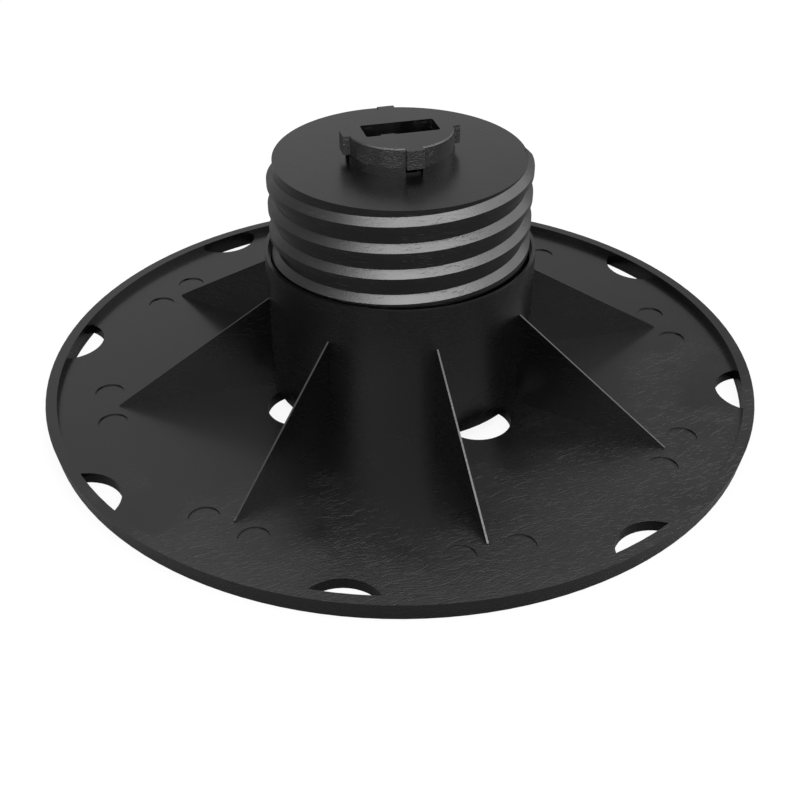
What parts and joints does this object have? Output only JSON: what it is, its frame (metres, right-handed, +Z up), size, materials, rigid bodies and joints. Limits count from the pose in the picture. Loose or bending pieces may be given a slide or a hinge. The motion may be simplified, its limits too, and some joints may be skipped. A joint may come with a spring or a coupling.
{
  "type": "decking pedestal",
  "caption": "Round ribbed foot with a hub, and a threaded head with a slotted boss that sets the height of a raised deck.",
  "frame": {"origin": "centre of the base's underside, where it stands on the ground", "axes": "+Z up along the thread's axis; +X through the middle of one rib and along the slot in the boss"},
  "size_m": [0.2018, 0.2018, 0.0762],
  "materials": {
    "base_plastic": "semi-gloss black moulding with fine scratches",
    "head_plastic": "semi-gloss black moulding with fine scratches"
  },
  "bodies": {
    "base": {"base": "base_plastic"},
    "head": {"threaded_head": "head_plastic"}
  },
  "joints": [
    {"name": "height_screw", "type": "slide", "parent": "base", "child": "head", "axis": [0, 0, 1], "range_m": [-0.0213, 0.0213]}
  ]
}
